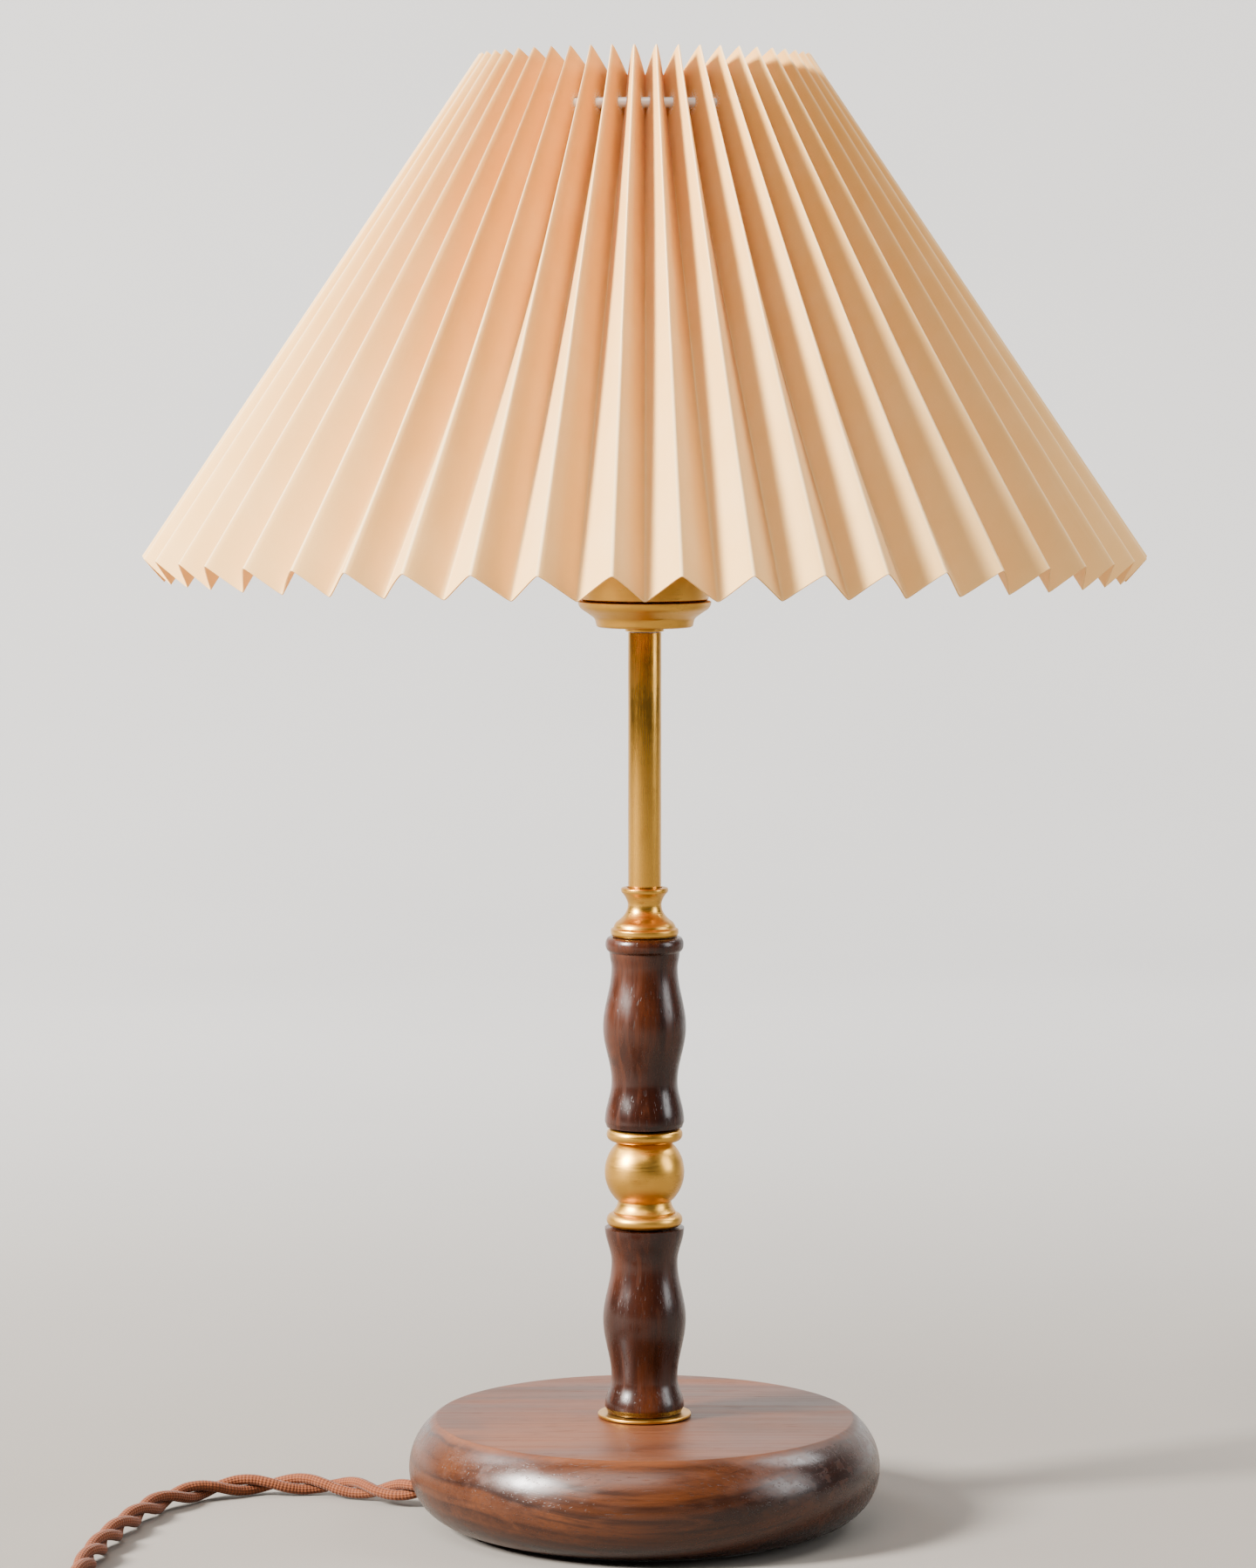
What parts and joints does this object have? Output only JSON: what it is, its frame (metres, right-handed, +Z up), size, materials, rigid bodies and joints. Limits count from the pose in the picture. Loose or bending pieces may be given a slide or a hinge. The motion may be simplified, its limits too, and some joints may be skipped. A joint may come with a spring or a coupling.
{
  "type": "table lamp",
  "caption": "Table lamp with a turned wooden base and stem, brass fittings, a pleated conical shade and a twisted textile cord with switch and plug.",
  "frame": {"origin": "on the table under the stem's axis, at the underside of the base's felt", "axes": "+Z up along the stem, -Y the front, and the cord leaves towards -X"},
  "size_m": [0.316, 0.421, 0.4429],
  "materials": {
    "walnut": "satin oiled reddish-brown wood",
    "brass": "polished with a satin bloom",
    "zinc_steel": "zinc plated",
    "cast_weight": "rough cast",
    "felt": "pressed felt",
    "nylon": "moulded",
    "porcelain": "glazed",
    "shade_paper": "translucent pleated shade material",
    "white_wire": "white enamel",
    "opal_glass": "opal",
    "nickel": "nickel plated",
    "black_glass": "glossy",
    "cord_braid": "textile braid",
    "core_sleeve": "smooth",
    "brown_plastic": "moulded"
  },
  "bodies": {
    "lamp": {"base_body": "walnut", "base_felt": "felt", "base_lock_washer": "zinc_steel", "base_nut": "brass", "base_weight": "cast_weight", "brass_ball": "brass", "centre_contact": "brass", "clamp_screw_left": "zinc_steel", "clamp_screw_right": "zinc_steel", "cord_clamp": "nylon", "cord_coil": "cord_braid", "cord_tie": "cord_braid", "cord_to_coil": "cord_braid", "cord_to_plug": "cord_braid", "cord_to_switch": "cord_braid", "cup_collar": "brass", "entry_lead": "cord_braid", "ferrule": "brass", "ferrule_grub_screw": "zinc_steel", "holder_cap": "brass", "holder_insulator": "porcelain", "holder_skirt": "brass", "inner_lead": "core_sleeve", "live_wire": "core_sleeve", "lower_spindle": "walnut", "neutral_wire": "core_sleeve", "plug_body": "brown_plastic", "plug_pin_left": "nickel", "plug_pin_right": "nickel", "rocker_pin": "zinc_steel", "seat_washer": "brass", "shade_nut_lower": "brass", "shade_nut_upper": "brass", "socket_cup": "brass", "stem_tube": "brass", "switch_base": "brown_plastic", "switch_cover": "brown_plastic", "switch_screw_far": "zinc_steel", "switch_screw_near": "zinc_steel", "terminal_screw_left": "brass", "terminal_screw_right": "brass", "thread_shell": "brass", "threaded_pipe": "zinc_steel", "upper_spindle": "walnut", "weight_screw_left": "zinc_steel", "weight_screw_right": "zinc_steel"},
    "shade": {"fitter_ring": "white_wire", "shade_arm_1": "white_wire", "shade_arm_2": "white_wire", "shade_arm_3": "white_wire", "shade_panel_1": "shade_paper", "shade_panel_2": "shade_paper", "shade_panel_3": "shade_paper", "shade_panel_4": "shade_paper", "shade_ring": "white_wire"},
    "bulb_lift": {"bulb_contact": "nickel"},
    "bulb": {"bulb_cap": "nickel", "bulb_glass": "opal_glass", "bulb_insulator": "black_glass"},
    "rocker": {"switch_rocker": "brown_plastic"}
  },
  "joints": [
    {"name": "shade_turn", "type": "hinge", "parent": "lamp", "child": "shade", "pos_m": [0, 0, 0.3083], "axis": [0, 0, 1], "continuous": true},
    {"name": "bulb_rise", "type": "slide", "parent": "lamp", "child": "bulb_lift", "axis": [0, 0, 1], "range_m": [0, 0.0146]},
    {"name": "bulb_turn", "type": "hinge", "parent": "bulb_lift", "child": "bulb", "pos_m": [0, 0, 0.3083], "axis": [0, 0, 1], "range_deg": [0, 1440]},
    {"name": "switch_rock", "type": "hinge", "parent": "lamp", "child": "rocker", "pos_m": [-0.15, -0.2035, 0.0158], "axis": [1, 0, 0], "range_deg": [-16, 0]}
  ],
  "couplings": [
    {"joint": "bulb_rise", "follows": "bulb_turn", "m_per_rad": 0.00057757}
  ]
}
